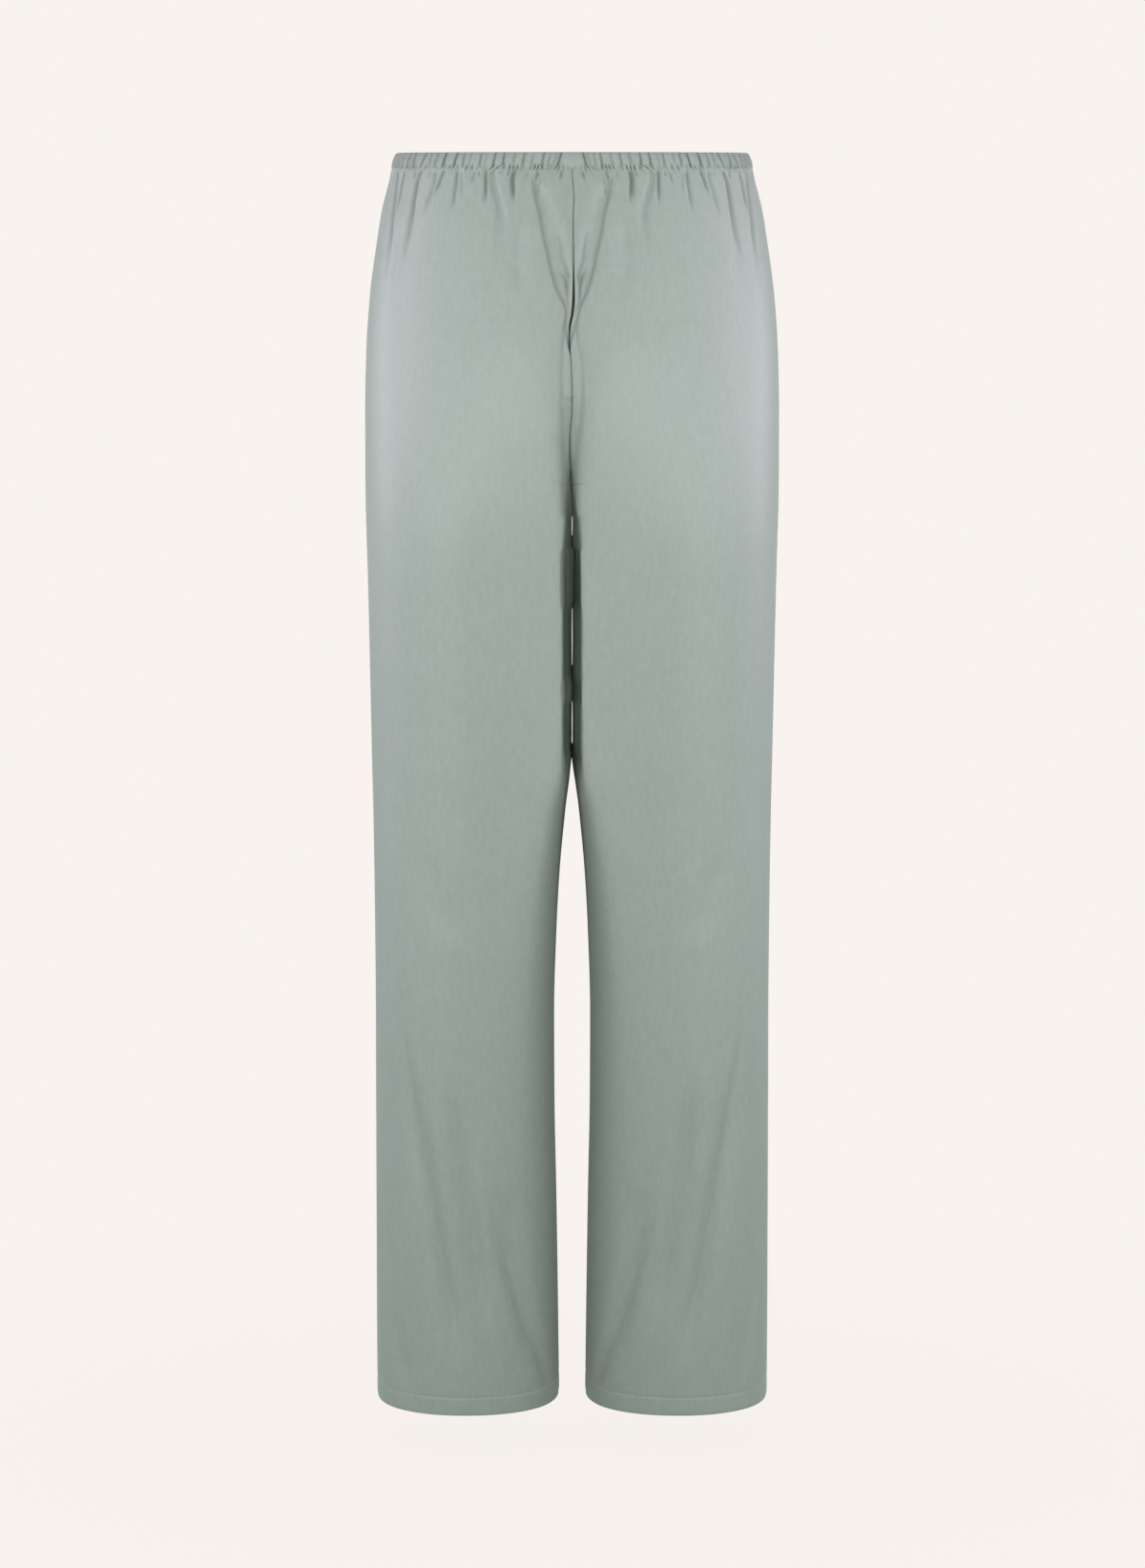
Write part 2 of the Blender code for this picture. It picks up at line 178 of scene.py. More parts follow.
# Tucks and creases of the back that hang from the casing: a few (across, drop) points from top
# to foot, how deep it is, and how wide it is on the side towards the side seam and on the
# side towards the centre. They take the place of part.py's gathers of the back.
Tuck = namedtuple("Tuck", "line depth near far")
V_CREASE = (
    (178, 20),
    (185.6, 32),
    (191.8, 42),
    (199.4, 58),
    (207.2, 74),
    (212, 84),
    (217, 94),
    (223, 105),
    (236, 125),
    (244, 150),
)
TUCKS = [
    Tuck(((10, 7), (11, 30)), 1.2, 1.8, 1.8),
    Tuck(((20, 7), (22, 18)), 1.0, 1.5, 1.5),
    Tuck(((28, 7), (31, 18)), 1.4, 1.4, 1.4),
    Tuck(((35.6, 7), (40, 19), (46, 38), (52, 66), (54, 95)), 2.6, 2.2, 3.0),
    Tuck(((50, 7), (51, 19), (53, 30), (55, 46)), 2.0, 1.6, 2.2),
    Tuck(((65, 7), (68, 17)), 1.0, 1.2, 1.2),
    Tuck(((73, 7), (71.5, 17), (73.2, 28), (76.5, 50), (78, 88)), 2.0, 1.8, 2.6),
    Tuck(((83, 7), (84.5, 14)), 0.9, 1.1, 1.1),
    Tuck(((88, 7), (89.5, 14), (90.5, 30), (91.5, 48)), 1.3, 2.0, 2.6),
    Tuck(((97, 7), (95.6, 17), (94.8, 30)), 2.0, 1.7, 2.2),
    Tuck(((108.8, 7), (110.8, 15), (113.4, 28), (117.1, 46)), 1.7, 1.5, 2.0),
    Tuck(((112.9, 7), (117.2, 18), (122.9, 32)), 0.8, 1.6, 1.8),
    Tuck(((123.9, 7), (125.5, 12), (125.6, 20)), 1.3, 1.2, 1.4),
    Tuck(((128.1, 7), (131.2, 14)), 1.1, 1.1, 1.1),
    Tuck(((134.1, 7), (136.1, 14), (138.6, 21), (144.8, 38)), 1.9, 1.4, 1.8),
    Tuck(((139.6, 7), (142.7, 17), (150.9, 29), (160, 46), (164, 74)), 1.7, 2.6, 4.0),
    Tuck(((153, 7), (155.5, 14)), 1.0, 1.1, 1.1),
    Tuck(((158.3, 7), (158.8, 14), (161.1, 21), (168, 36)), 3.0, 1.7, 2.2),
    Tuck(((169.5, 7), (171, 16)), 1.1, 1.6, 1.6),
    Tuck(((178, 7), (178.5, 14), (179.2, 20)), 1.9, 1.3, 1.5),
    Tuck(((175.7, 9), (177, 17), (180, 21), (186, 33)), 1.4, 1.5, 2.0),
    Tuck(((182, 9), (184, 30)), 0.8, 1.2, 1.4),
    Tuck(((195.6, 7), (198, 11), (198.6, 18)), 1.3, 1.1, 1.3),
    Tuck(V_CREASE, 2.6, 1.6, 9.0),
    Tuck(((208, 56), (221, 88), (228, 98), (234, 110), (241, 124)), 1.4, 2.6, 3.6),
    Tuck(((222, 84), (227, 96), (232, 106), (237, 120), (243, 140), (246, 160)), 1.5, 5.0, 5.0),
    Tuck(((180, 52), (183, 68), (185.5, 84), (191, 98), (201, 118)), 0.8, 5.0, 6.0),
]
TUCK_SPREADS = 110  # a tuck is twice as wide this far below its top
TUCK_ENDS = 0.45  # share of a tuck's run over which it fades out
LONG_TUCK = 6  # a tuck of this many points is a crease, which spreads less
LONG_TUCK_SPREAD = 0.2
BROAD_TUCK = 5.0
TUCK_LINE = 0.75  # a tuck less broad than that is this much sharper than listed

# Lines of one half of the casing: across at its foot and at its top, and how deep.
CASING_LINES = {
    "back": [
        (9, 8, 0.9),
        (19, 17, 1.1),
        (27.5, 24, 0.8),
        (35.7, 31, 1.3),
        (44, 41, 0.7),
        (50.7, 52, 1.1),
        (61.9, 59, 0.8),
        (70.4, 71.5, 1.0),
        (80.5, 78.6, 0.6),
        (86, 85, 0.8),
        (94.3, 92.6, 1.4),
        (104.6, 103.3, 1.4),
        (113.5, 109.8, 0.9),
        (119, 116, 0.6),
        (127.8, 124.9, 1.0),
        (132.4, 129.4, 0.5),
        (139.6, 136.6, 1.3),
        (147.8, 144.2, 1.4),
        (156.1, 153.1, 0.8),
        (164, 161, 1.0),
        (171.1, 168.4, 0.7),
        (179.6, 176.9, 1.2),
        (184.9, 182, 0.8),
        (189.4, 187, 0.8),
        (193, 190.6, 1.5),
        (200.4, 197.4, 0.15),
    ],
    "front": [
        (7, 7, 0.8),
        (16, 14, 1.2),
        (24, 22, 0.7),
        (33, 31, 1.3),
        (43, 42, 0.9),
        (52, 50, 1.2),
        (58, 57, 0.6),
        (66, 64, 1.0),
        (75, 74, 1.4),
        (83, 81, 0.8),
        (91, 90, 1.2),
        (97, 95, 0.6),
        (106, 104, 1.3),
        (116, 115, 0.9),
        (124, 122, 1.2),
        (131, 130, 0.7),
        (140, 138, 1.4),
        (149, 148, 1.0),
        (156, 154, 0.7),
        (165, 164, 1.3),
        (173, 172, 0.8),
        (181, 180, 1.2),
        (189, 188.5, 0.9),
        (196, 196, 0.6),
    ],
}

# At some drops, how far the centre-back seam strays from the middle.
SEAM_STRAYS = [
    (10, 0.0),
    (32, 1.5),
    (48, 0.9),
    (108, 1.3),
    (122, 0.5),
    (136, -2.0),
    (148, -2.3),
    (162, -0.8),
    (180, 0.0),
]
STRAY_WIDTH = 9.0  # the cloth beside the seam moves with it this far out
# At some drops, how round the cloth turns into that seam, and into every other one.
SEAM_ROLLS = [(8, 0.7), (40, 1.2), (80, 2.0), (110, 2.8), (145, 2.2), (190, 1.9), (262, 1.4), (300, 1.0)]
OTHER_ROLL = 0.8

# At some drops, how deep the cloth turns in between the thighs, and how far from the middle.
GROOVE = [(225, 0.0), (262, 4.0), (300, 14.0), (345, 30.0), (475, 30.0), (530, 0.0), (560, 0.0)]
GROOVE_EDGES = [(225, 2.4), (262, 3.6), (290, 6.0), (325, 8.4), (560, 8.4)]
GROOVE_TURN = 0.27  # share of the edge
# At some drops, how far in the two halves touch.
TOUCH = [(130, 3.0), (190, 4.5), (230, 9.0), (262, 14.0), (300, 24.0), (345, 36.0), (530, 40.0)]
# Drops between which a sliver stays open, and how far each half then stands back.
SLIVERS = [(286, 318), (360, 430), (440, 488)]
SLIVER = 0.15
# Drops where these start, are full, ease and end: the sharper turn of the inner thigh, the
# touch of the two halves, and the lean of the legs on each other.
THIGH_TURNS = (130, 190, 470, 540)
THIGHS_TOUCH = (130, 160, 455, 500)
THIGHS_LEAN = (200, 230, 470, 525)
THIGH_SHARPNESS = 0.9  # more than part.py's, as a share of it

LINE_DEPTH = 2.6  # the casing's lines are this many times as deep as listed
SIDE_LINES = 1.8  # and at the side seam deeper by this share, which fades over this distance
SIDE_LINES_REACH = 60
TUCK_DEPTH = 1.7  # the tucks are this many times as deep as listed
NARROW_TUCKS = 1.05  # and those no broader than BROAD_TUCK this many times more

# Puckers along the stitch line at the casing's foot: how far apart and how deep they are, how
# far they reach and lean, and where across they are largest.
PUCKER_PITCH = 4.4
PUCKER_DEPTH = 3.4
PUCKER_REACH = 3.0
PUCKER_LEAN = 0.9
PUCKER_PEAK = 184
FLAT_STRETCH = 11.0  # half of the casing's smooth stretch at the centre back

# The hem's stitches sink by the first, and at a seam by the second over that width.
STITCH_SINK = 0.38
SEAM_DIP = 0.5
SEAM_DIP_WIDTH = 1.6
STITCH_LENGTH = 2.1
STITCH_PITCH = 2.7
STITCH_THICK = 0.34

PANEL_COLUMNS = {"back": 560, "front": 480}  # at the top; half as many below each of these drops
COLUMNS_HALVE = (46, 190)
# Runs of rows of a panel: the drop where each run ends, and the height of its rows.
PANEL_ROWS = [
    (14, 0.8),
    (46, 1.2),
    (190, 1.7),
    (250, 2.6),
    (262, 0.8),
    (266, 0.4),
    (420, 2.7),
    (1022, 4.7),
]
SEAM_CROWDS = 0.55  # 0 spreads a panel's columns evenly, 1 crowds them all to its seams
GROOVE_CROWDS = 3.0  # how much closer they are where the thigh turns in
GROOVE_SHARE = 0.668  # that place, as a share of the row

# Drop and inward offset of a panel's first rows, which lie behind the casing.
PANEL_TOP = [(6.45, 0.95), (6.7, 0.5), (6.9, 0.2), (7.1, 0.04), (7.5, 0.0), (8.0, 0.0)]
# The same round the hem's stitches, from their line, and up from the hem's fold.
HEM_STITCH = [(-2.4, 0.0), (-1.2, 0.08), (-0.5, 0.28), (0.0, 0.38), (0.5, 0.26), (1.3, 0.04)]
HEM_ROLL = [
    (0.7, 0.04),
    (0.3, 0.16),
    (0.08, 0.34),
    (0.0, 0.55),
    (0.08, 0.76),
    (0.35, 0.98),
    (1.0, 1.1),
    (5.0, 1.15),
    (10.0, 1.15),
    (15.0, 1.15),
]

SATIN_COLOUR = (0.376, 0.423, 0.397)
THREAD_COLOUR = (0.64, 0.68, 0.66)


# ---------------------------------------------------------------- the form
def smooth(value):
    """0 to 1 with a soft start and end."""
    value = np.clip(value, 0.0, 1.0)
    return value * value * (3 - 2 * value)


def between(drop, top, full, eases, ends):
    """0 above top, 1 from full to eases, and 0 again below ends."""
    return smooth((drop - top) / (full - top)) * (1 - smooth((drop - eases) / (ends - eases)))


def through(pairs, at):
    """A smooth curve through (place, size) pairs that never overshoots, level past its ends."""
    places, sizes = np.array(pairs, float).T
    if len(places) == 2:
        return np.interp(at, places, sizes)
    slopes = np.diff(sizes) / np.diff(places)
    before, after = slopes[:-1], slopes[1:]
    same = before * after > 0
    inner = np.where(same, 2 * before * after / np.where(same, before + after, 1), 0.0)
    tangents = np.concatenate([slopes[:1], inner, slopes[-1:]])
    at = np.clip(at, places[0], places[-1])
    row = np.clip(np.searchsorted(places, at, side="right") - 1, 0, len(slopes) - 1)
    height = places[row + 1] - places[row]
    s = (at - places[row]) / height
    rise = sizes[row + 1] - sizes[row]
    start, end = tangents[row] * height, tangents[row + 1] * height
    bend = s * s * (3 * rise - 2 * start - end) + s**3 * (start + end - 2 * rise)
    return sizes[row] + s * start + bend


def section_size(name, drop):
    """A column of SECTIONS on a smooth curve through its rows."""
    return through([(row.drop, getattr(row, name)) for row in SECTIONS], drop)


def level_curve(face, drop):
    """x and y of the left half's outside, side seam to centre, with y outwards."""
    seat = SEATS[face]
    half_width = section_size("half_width", drop)
    half_gap = section_size("half_gap", drop)
    depth = section_size(face, drop)
    leg_middle, leg_half = -(half_width + half_gap) / 2, (half_width - half_gap) / 2
    body_share = smooth((drop - seat.body_top) / (seat.body_foot - seat.body_top))
    down_seam = np.clip((drop - seat.seam_top) / (CROTCH_DROP - seat.seam_top), 0, 1)
    seam_share = 1 - math.sqrt(1 - down_seam**2)
    cleft = seat.cleft * between(drop, *CLEFT)
    way = np.linspace(0, 1, CURVE_STEPS + 1)
    share = body_share + (seam_share - body_share) * way**SEAM_REACH
    turn = math.pi * np.minimum(way, 0.5)
    towards = 1 - (2 - 2 * np.maximum(way, 0.5)) ** 2
    x = leg_middle + leg_half * (towards - np.abs(np.cos(turn)) ** (2 / SQUARENESS))
    x = x + (1 - share) * half_gap * way**SEAM_REACH
    y_outer = np.sin(turn) ** (2 / SQUARENESS)
    corner = section_size("corner", drop)
    corner *= 1 + THIGH_SHARPNESS * between(drop, *THIGH_TURNS)
    y_inner = (1 - towards**corner) ** (1 / section_size("wall", drop))
    y_leg = np.where(way <= 0.5, y_outer, y_inner)
    y_body = (1 - np.minimum(1, np.abs(x) / half_width) ** SQUARENESS) ** (1 / SQUARENESS)
    y = y_body + share * (y_leg - y_body)
    return x, depth * y / y.max() - cleft * np.exp(-((x / seat.cleft_width) ** 2))


def level_row(face, drop, shares):
    """x and y at these shares of a row's length, the way out there in x and y, and the length."""
    x, y = level_curve(face, drop)
    reached = np.concatenate([[0.0], np.cumsum(np.hypot(np.diff(x), np.diff(y)))])
    length = reached[-1]
    across = shares * length
    along_x = np.gradient(x, reached)
    along_y = np.gradient(y, reached)
    row_x, row_y = np.interp(across, reached, x), np.interp(across, reached, y)
    tangent_x, tangent_y = np.interp(across, reached, along_x), np.interp(across, reached, along_y)
    size = np.hypot(tangent_x, tangent_y)
    return row_x, row_y, -tangent_y / size, tangent_x / size, length


def dip(face, share, drop):
    """How much lower a point lies than its row's drop: the waist's dip, less the hem's rise."""
    rise = HEM_RISE * smooth((share - 0.5) / 0.5) + SIDE_RISE * smooth((0.4 - share) / 0.4)
    rise = rise * smooth((drop - HEM_RISE_TOP) / HEM_RISE_RUN)
    if face == "back":
        return -rise
    fade = 1 - smooth((drop - CASING_FOOT) / (FRONT_DIP_ENDS - CASING_FOOT))
    return FRONT_DIP * fade * smooth(share) - rise


def gather_relief(face, across, drop):
    """What hangs from the casing. A gather is a soft valley with a sharper line in it."""
    if face == "back":
        return tuck_relief(across, drop)
    below = np.maximum(0.0, drop - CASING_FOOT)
    relief = 0.0
    for gather in GATHERS:
        way = np.minimum(1.0, below / gather.run)
        place = gather.across + gather.drift * way
        width = gather.width * (1 + below / GATHER_SPREADS)
        away = (across - place) / width
        fade = 1 - smooth(below / gather.run)
        line = 0.62 * np.exp(-(away**2)) + 0.38 * np.exp(-np.abs(away) / 0.38)
        relief = relief - gather.depth * fade * line
    return relief


def tuck_relief(across, drop):
    """The back's tucks, each a valley along its line."""
    relief = 0.0
    for tuck in TUCKS:
        drops = [point[1] for point in tuck.line]
        place = through([(point[1], point[0]) for point in tuck.line], drop)
        run = drops[-1] - drops[0]
        way = (drop - drops[0]) / run
        inside = way < 1
        starts = smooth((drop - 6.8) / 5) if drops[0] < 8 else smooth((drop - drops[0] + 2) / 14)
        strength = starts * smooth((1 - way) / TUCK_ENDS) * inside
        spreads = 1 if len(drops) < LONG_TUCK else LONG_TUCK_SPREAD
        spread = 1 + np.maximum(0.0, drop - drops[0]) / TUCK_SPREADS * spreads
        away = across - place
        width = np.where(away < 0, tuck.near, tuck.far) * spread
        breadth = max(tuck.near, tuck.far)
        deep = 1.0 if breadth > BROAD_TUCK else NARROW_TUCKS
        if breadth < BROAD_TUCK:
            width = TUCK_LINE * width
        line = np.exp(-((away / width) ** 2))
        relief = relief - TUCK_DEPTH * deep * tuck.depth * strength * line
    return relief


def fold_relief(folds, across, drop):
    relief = 0.0
    for fold in folds:
        way = (drop - fold.drop) / (fold.foot_drop - fold.drop)
        inside = (way > 0) & (way < 1)
        place = fold.across + way * (fold.foot_across - fold.across)
        place = place - fold.bow * np.sin(math.pi * np.clip(way, 0, 1))
        strength = smooth(way / FOLD_END) * smooth((1 - way) / FOLD_END)
        dent = np.exp(-(((across - place) / fold.width) ** 2))
        relief = relief - fold.depth * inside * strength * dent
    return relief


def wander(seed, along, step):
    """A smooth random line from -1 to 1 at these distances along, with bends a step apart."""
    random = np.random.default_rng(seed)
    count = int(np.max(along) / step) + 4
    knots = random.uniform(-1, 1, count)
    spot = np.clip(np.asarray(along) / step, 0, count - 2.001)
    first = np.floor(spot).astype(int)
    return knots[first] + (knots[first + 1] - knots[first]) * smooth(spot - first)


def pucker_relief(face, across, drop):
    """Small puckers hanging from and standing on the stitch line of the casing."""
    seed = 11 if face == "back" else 23
    lean = PUCKER_LEAN * (drop - CASING_FOOT) * wander(seed + 3, across, 8.0)
    phase = (across + lean) / PUCKER_PITCH + 1.1 * wander(seed, across, 9.0)
    size = 0.6 + 0.4 * wander(seed + 1, across, 7.0) + 0.3 * np.exp(-(((across - PUCKER_PEAK) / 9) ** 2))
    reach = PUCKER_REACH * (0.8 + 0.5 * wander(seed + 2, across, 5.0))
    fade = np.exp(-np.maximum(0.0, drop - CASING_FOOT) / np.maximum(reach, 1.5))
    return -PUCKER_DEPTH * size * fade * (0.5 + 0.5 * np.cos(2 * math.pi * phase)) ** 2.5


def soft_relief(face, across, drop):
    """Broad uneven waves of cloth that isn't pressed flat."""
    seed = 41 if face == "back" else 57
    hang = 1 - smooth((drop - 20) / 170)
    waves = 0.45 * hang * np.sin(across / 7.4 + 1.3 * wander(seed, across, 30.0))
    sway = drop / 260 + 0.8 * wander(seed + 1, across, 60.0)
    legs = smooth((drop - 330) / 200)
    waves = waves + 0.55 * legs * np.sin(across / 13.0 + sway)
    return waves * smooth((drop - 12) / 30)


# ---------------------------------------------------------------- meshes
def mesh_object(name, points, faces, material):
    data = bpy.data.meshes.new(name)
    data.from_pydata(points, [], faces)
    data.validate()
    data.polygons.foreach_set("use_smooth", [True] * len(data.polygons))
    piece = bpy.data.objects.new(name, data)
    bpy.context.scene.collection.objects.link(piece)
    data.materials.append(material)
    return piece


def grid_faces(rows, columns, closed, flip):
    faces = []
    last = columns if closed else columns - 1
    for row in range(rows - 1):
        for column in range(last):
            after = (column + 1) % columns
            corner = (row * columns + column, row * columns + after)
            below = ((row + 1) * columns + after, (row + 1) * columns + column)
            quad = corner + below
            faces.append(quad[::-1] if flip else quad)
    return faces


def panel_drops():
    """Drop and inward offset of each row: behind the casing, down the outside, round the hem."""
    rows = list(PANEL_TOP)
    drop = 8.6
    for end, step in PANEL_ROWS:
        while drop < end:
            rows.append((drop, 0.0))
            drop += step
    stitched = HEM_DROP - HEM_TURN_UP
    rows += [(stitched + away, dent) for away, dent in HEM_STITCH]
    drop = stitched + 2.6
    while drop < HEM_DROP - 1.2:
        rows.append((drop, 0.0))
        drop += 1.9
    rows += [(HEM_DROP - up, inwards) for up, inwards in HEM_ROLL]
    return rows


def column_shares(count):
    """Columns closer together next to both seams and where the thigh turns in."""
    even = np.linspace(0, 1, count + 1)
    even = even - SEAM_CROWDS / (2 * math.pi) * np.sin(2 * math.pi * even)
    place = np.linspace(0, 1, 2001)
    reached = np.cumsum(1 + GROOVE_CROWDS * np.exp(-(((place - GROOVE_SHARE) / 0.02) ** 2)))
    reached = (reached - reached[0]) / (reached[-1] - reached[0])
    return np.interp(even, reached, place)


def panel_blocks(face):
    """Runs of a panel's rows, each with half as many columns as the run above it."""
    rows = panel_drops()
    tops = (-math.inf,) + COLUMNS_HALVE
    ends = COLUMNS_HALVE + (math.inf,)
    blocks = []
    for k, (top, end) in enumerate(zip(tops, ends)):
        blocks.append(([row for row in rows if top <= row[0] < end], PANEL_COLUMNS[face] // 2**k))
    return blocks


def halving_faces(upper, lower, flip):
    """Faces between a row of vertices and the next one, which has half its columns."""
    faces = [(upper[k], upper[k + 1], lower[k + 1], lower[k]) for k in (0, 1, -3, -2)]
    for k in range(2, len(lower) - 3):
        first, middle, last = upper[2 * k - 2 : 2 * k + 1]
        faces.append((first, middle, lower[k]))
        faces.append((middle, lower[k + 1], lower[k]))
        faces.append((middle, last, lower[k + 1]))
    return [face[::-1] for face in faces] if flip else faces


def panel_points(face, rows, columns, laps_at_centre, laps_at_side):
    """Grid of points of the left panel, with its edges turned in at both seams."""
    shares = column_shares(columns)
    drops = np.array([row[0] for row in rows])[:, None]
    inwards = np.array([row[1] for row in rows])[:, None]
    base = [level_row(face, float(drop), shares) for drop in drops[:, 0]]
    x, y, out_x, out_y = (np.array([row[k] for row in base]) for k in range(4))
    length = np.array([row[4] for row in base])[:, None]
    across = shares[None, :] * length
    ease = smooth(across / SEAM_EASE) * smooth((length - across) / SEAM_EASE)
    relief = ease * (
        gather_relief(face, across, drops)
        + fold_relief(FOLDS[face], across, drops)
        + fold_relief(CREASES[face], across, drops)
        + soft_relief(face, across, drops)
    )
    relief = relief + pucker_relief(face, across, drops) - inwards
    relief = relief - roll_in(across, OTHER_ROLL)
    relief = relief - roll_in(length - across, centre_roll(face, drops))
    x = x + out_x * relief
    y = y + out_y * relief
    y = y - groove_relief(x, y, drops)
    x = close_thighs(x, y, drops)
    y = np.maximum(y, SEAM_GAP / 2)
    z = -drops - dip(face, shares[None, :], drops)
    grid = np.stack([x, y, z], axis=2)
    in_hem = (drops > HEM_DROP - HEM_TURN_UP - 3)[:, 0]
    side_edge = turned_edge(grid, out_x, out_y, 0, laps_at_side, laps_at_side, in_hem)
    centre_edge = turned_edge(grid, out_x, out_y, -1, laps_at_centre, laps_at_side, in_hem)
    return np.concatenate([side_edge[:, ::-1], grid, centre_edge], axis=1)


def sliver_share(drops, taper=0.12):
    """1 where the thighs leave a sliver open, with ends as long as this share of it."""
    share = 0.0
    for top, foot in SLIVERS:
        end = taper * (foot - top)
        share = share + smooth((drops - top) / end) * (1 - smooth((drops - foot + end) / end))
    return share


def groove_relief(x, y, drops):
    """How far the cloth turns in between the thighs."""
    near = smooth((1 + x / through(GROOVE_EDGES, drops)) / GROOVE_TURN)
    return through(GROOVE, drops) * near * (y / y.max(axis=1, keepdims=True)) ** 2


def close_thighs(x, y, drops):
    """x with the two halves brought together from TOUCH inwards, but for the slivers."""
    below = y.max(axis=1, keepdims=True) - y
    touch = through(TOUCH, drops)
    closed = between(drops, *THIGHS_TOUCH)
    closed = closed * smooth((below - touch) / (0.4 * touch)) * smooth(y / 20) * (x > -12)
    x = x + (-SEAM_GAP / 2 - x) * closed
    return np.minimum(x, -SEAM_GAP / 2 - SLIVER * sliver_share(drops, 0.5))


def roll_in(from_edge, radius):
    """How far the cloth has turned in at this distance from a seam's edge."""
    left = np.clip(1 - from_edge / radius, 0, 1)
    return radius * (1 - np.sqrt(1 - left**2))


def centre_roll(face, drops):
    if face == "front":
        return np.full_like(drops, OTHER_ROLL)
    return through(SEAM_ROLLS, drops)


def on_own_side(points):
    """The points, kept on their panel's side of the centre seam and of the side seam."""
    points[:, 0] = np.minimum(points[:, 0], -SEAM_GAP / 2)
    points[:, 1] = np.maximum(points[:, 1], SEAM_GAP / 2)
    return points


def turned_edge(grid, out_x, out_y, column, laps_at_centre, laps_at_side, in_hem):
    """Two more columns past an edge, turned in. Where the panel laps, the last one lies
    behind the edge of the panel sewn to it, so that no light comes through the seam."""
    edge = grid[:, column]
    inwards = -np.stack([out_x[:, column], out_y[:, column], 0 * out_x[:, column]], axis=1)
    depth = np.where(in_hem, 0.35, 0.7)[:, None]
    first = on_own_side(edge + inwards * depth)
    over_way, at_centre = seam_side(edge)
    inwards = np.where(at_centre[:, None], [[0.0, -1.0, 0.0]], inwards)
    laps = np.where(at_centre, laps_at_centre, laps_at_side)[:, None]
    behind = np.where(in_hem, 0.55, 1.5)[:, None]
    over = np.where(in_hem, 0.45, 1.6)[:, None]
    lapped = edge + inwards * behind + over_way * over
    plain = on_own_side(edge + inwards * depth * 1.3)
    return np.stack([first, np.where(laps, lapped, plain)], axis=1)


def seam_side(edge):
    """The way from each edge point across its seam: to the other half, or to the other face."""
    at_centre = (edge[:, 0] > -2.0) & (edge[:, 1] > 3 * SEAM_GAP)
    across_x = np.where(at_centre, 1.0, 0.0)
    across_y = np.where(at_centre, 0.0, -1.0)
    return np.stack([across_x, across_y, 0 * across_x], axis=1), at_centre


def make_panel(name, face, side, material):
    flip = (face == "back") == (side > 0)
    places, faces, last_row = [], [], None
    for rows, columns in panel_blocks(face):
        # The left panels lap at the centre, and the back ones at the side seams and inseams.
        points = panel_points(face, rows, columns, side < 0, face == "back")
        points[:, :, 0] *= -side
        if face == "back":
            stray = through(SEAM_STRAYS, -points[:, :, 2])
            points[:, :, 0] += stray * np.exp(-((points[:, :, 0] / STRAY_WIDTH) ** 2))
            points[:, :, 1] *= -1
        points[:, :, 0] += thigh_lean(points)
        start, (high, wide) = len(places), points.shape[:2]
        if last_row:
            faces += halving_faces(last_row, range(start, start + wide), flip)
        faces += [tuple(start + k for k in quad) for quad in grid_faces(high, wide, False, flip)]
        places += (points * MM).reshape(-1, 3).tolist()
        last_row = range(len(places) - wide, len(places))
    return mesh_object(name, places, faces, material)


def thigh_lean(points):
    """The legs lean on each other in a soft wave, so that only the slivers let light through."""
    x, y, drop = points[:, :, 0], points[:, :, 1], -points[:, :, 2]
    touching = between(drop, *THIGHS_LEAN) * (1 - sliver_share(drop))
    return 2.2 * touching * np.sin(y / 15.0 + 0.6) * np.exp(-((x / 12.0) ** 2))


CASING_COLUMNS = 700  # in each quarter
# Height of each row of the casing's outside above the origin, and how far inwards it lies.
CASING_PROFILE = [
    (-7.35, 0.8),
    (-7.15, 0.55),
    (-6.95, 0.38),
    (-6.7, 0.3),
    (-6.35, 0.26),
    (-5.9, 0.18),
    (-5.4, 0.08),
    (-4.8, 0.0),
    (-3.8, 0.0),
    (-2.6, 0.0),
    (-1.3, 0.0),
    (0.0, 0.0),
    (1.3, 0.0),
    (2.5, 0.0),
    (3.6, 0.0),
    (4.4, 0.05),
    (5.0, 0.16),
    (5.5, 0.4),
    (5.85, 0.8),
    (6.0, 1.3),
    (5.85, 1.75),
    (5.3, 2.1),
    (3.5, 2.3),
    (0.0, 2.3),
    (-4.0, 2.3),
    (-6.3, 2.25),
]


def casing_relief(face, across, height, length):
    """Puffs between the gather lines, which lean towards the centre at the top."""
    up = np.clip((height + CASING_FOOT) / (CASING_TOP + CASING_FOOT), 0, 1)
    relief = 0.0
    for foot, top, depth in CASING_LINES[face]:
        away = across - (foot + up * (top - foot))
        crease = 0.25 * np.exp(-((away / 2.6) ** 2)) + 0.75 * np.exp(-((away / 0.85) ** 2))
        relief = relief - LINE_DEPTH * depth * crease
    relief = relief * (1 + SIDE_LINES * np.exp(-((across / SIDE_LINES_REACH) ** 2)))
    seed = 5 if face == "back" else 7
    smoothed = smooth((length - across) / FLAT_STRETCH - 0.9) if face == "back" else 1.0
    ripple = 0.12 * np.sin(across / 0.85 + 2.0 * wander(seed, across, 6.0))
    return relief + ripple * smoothed


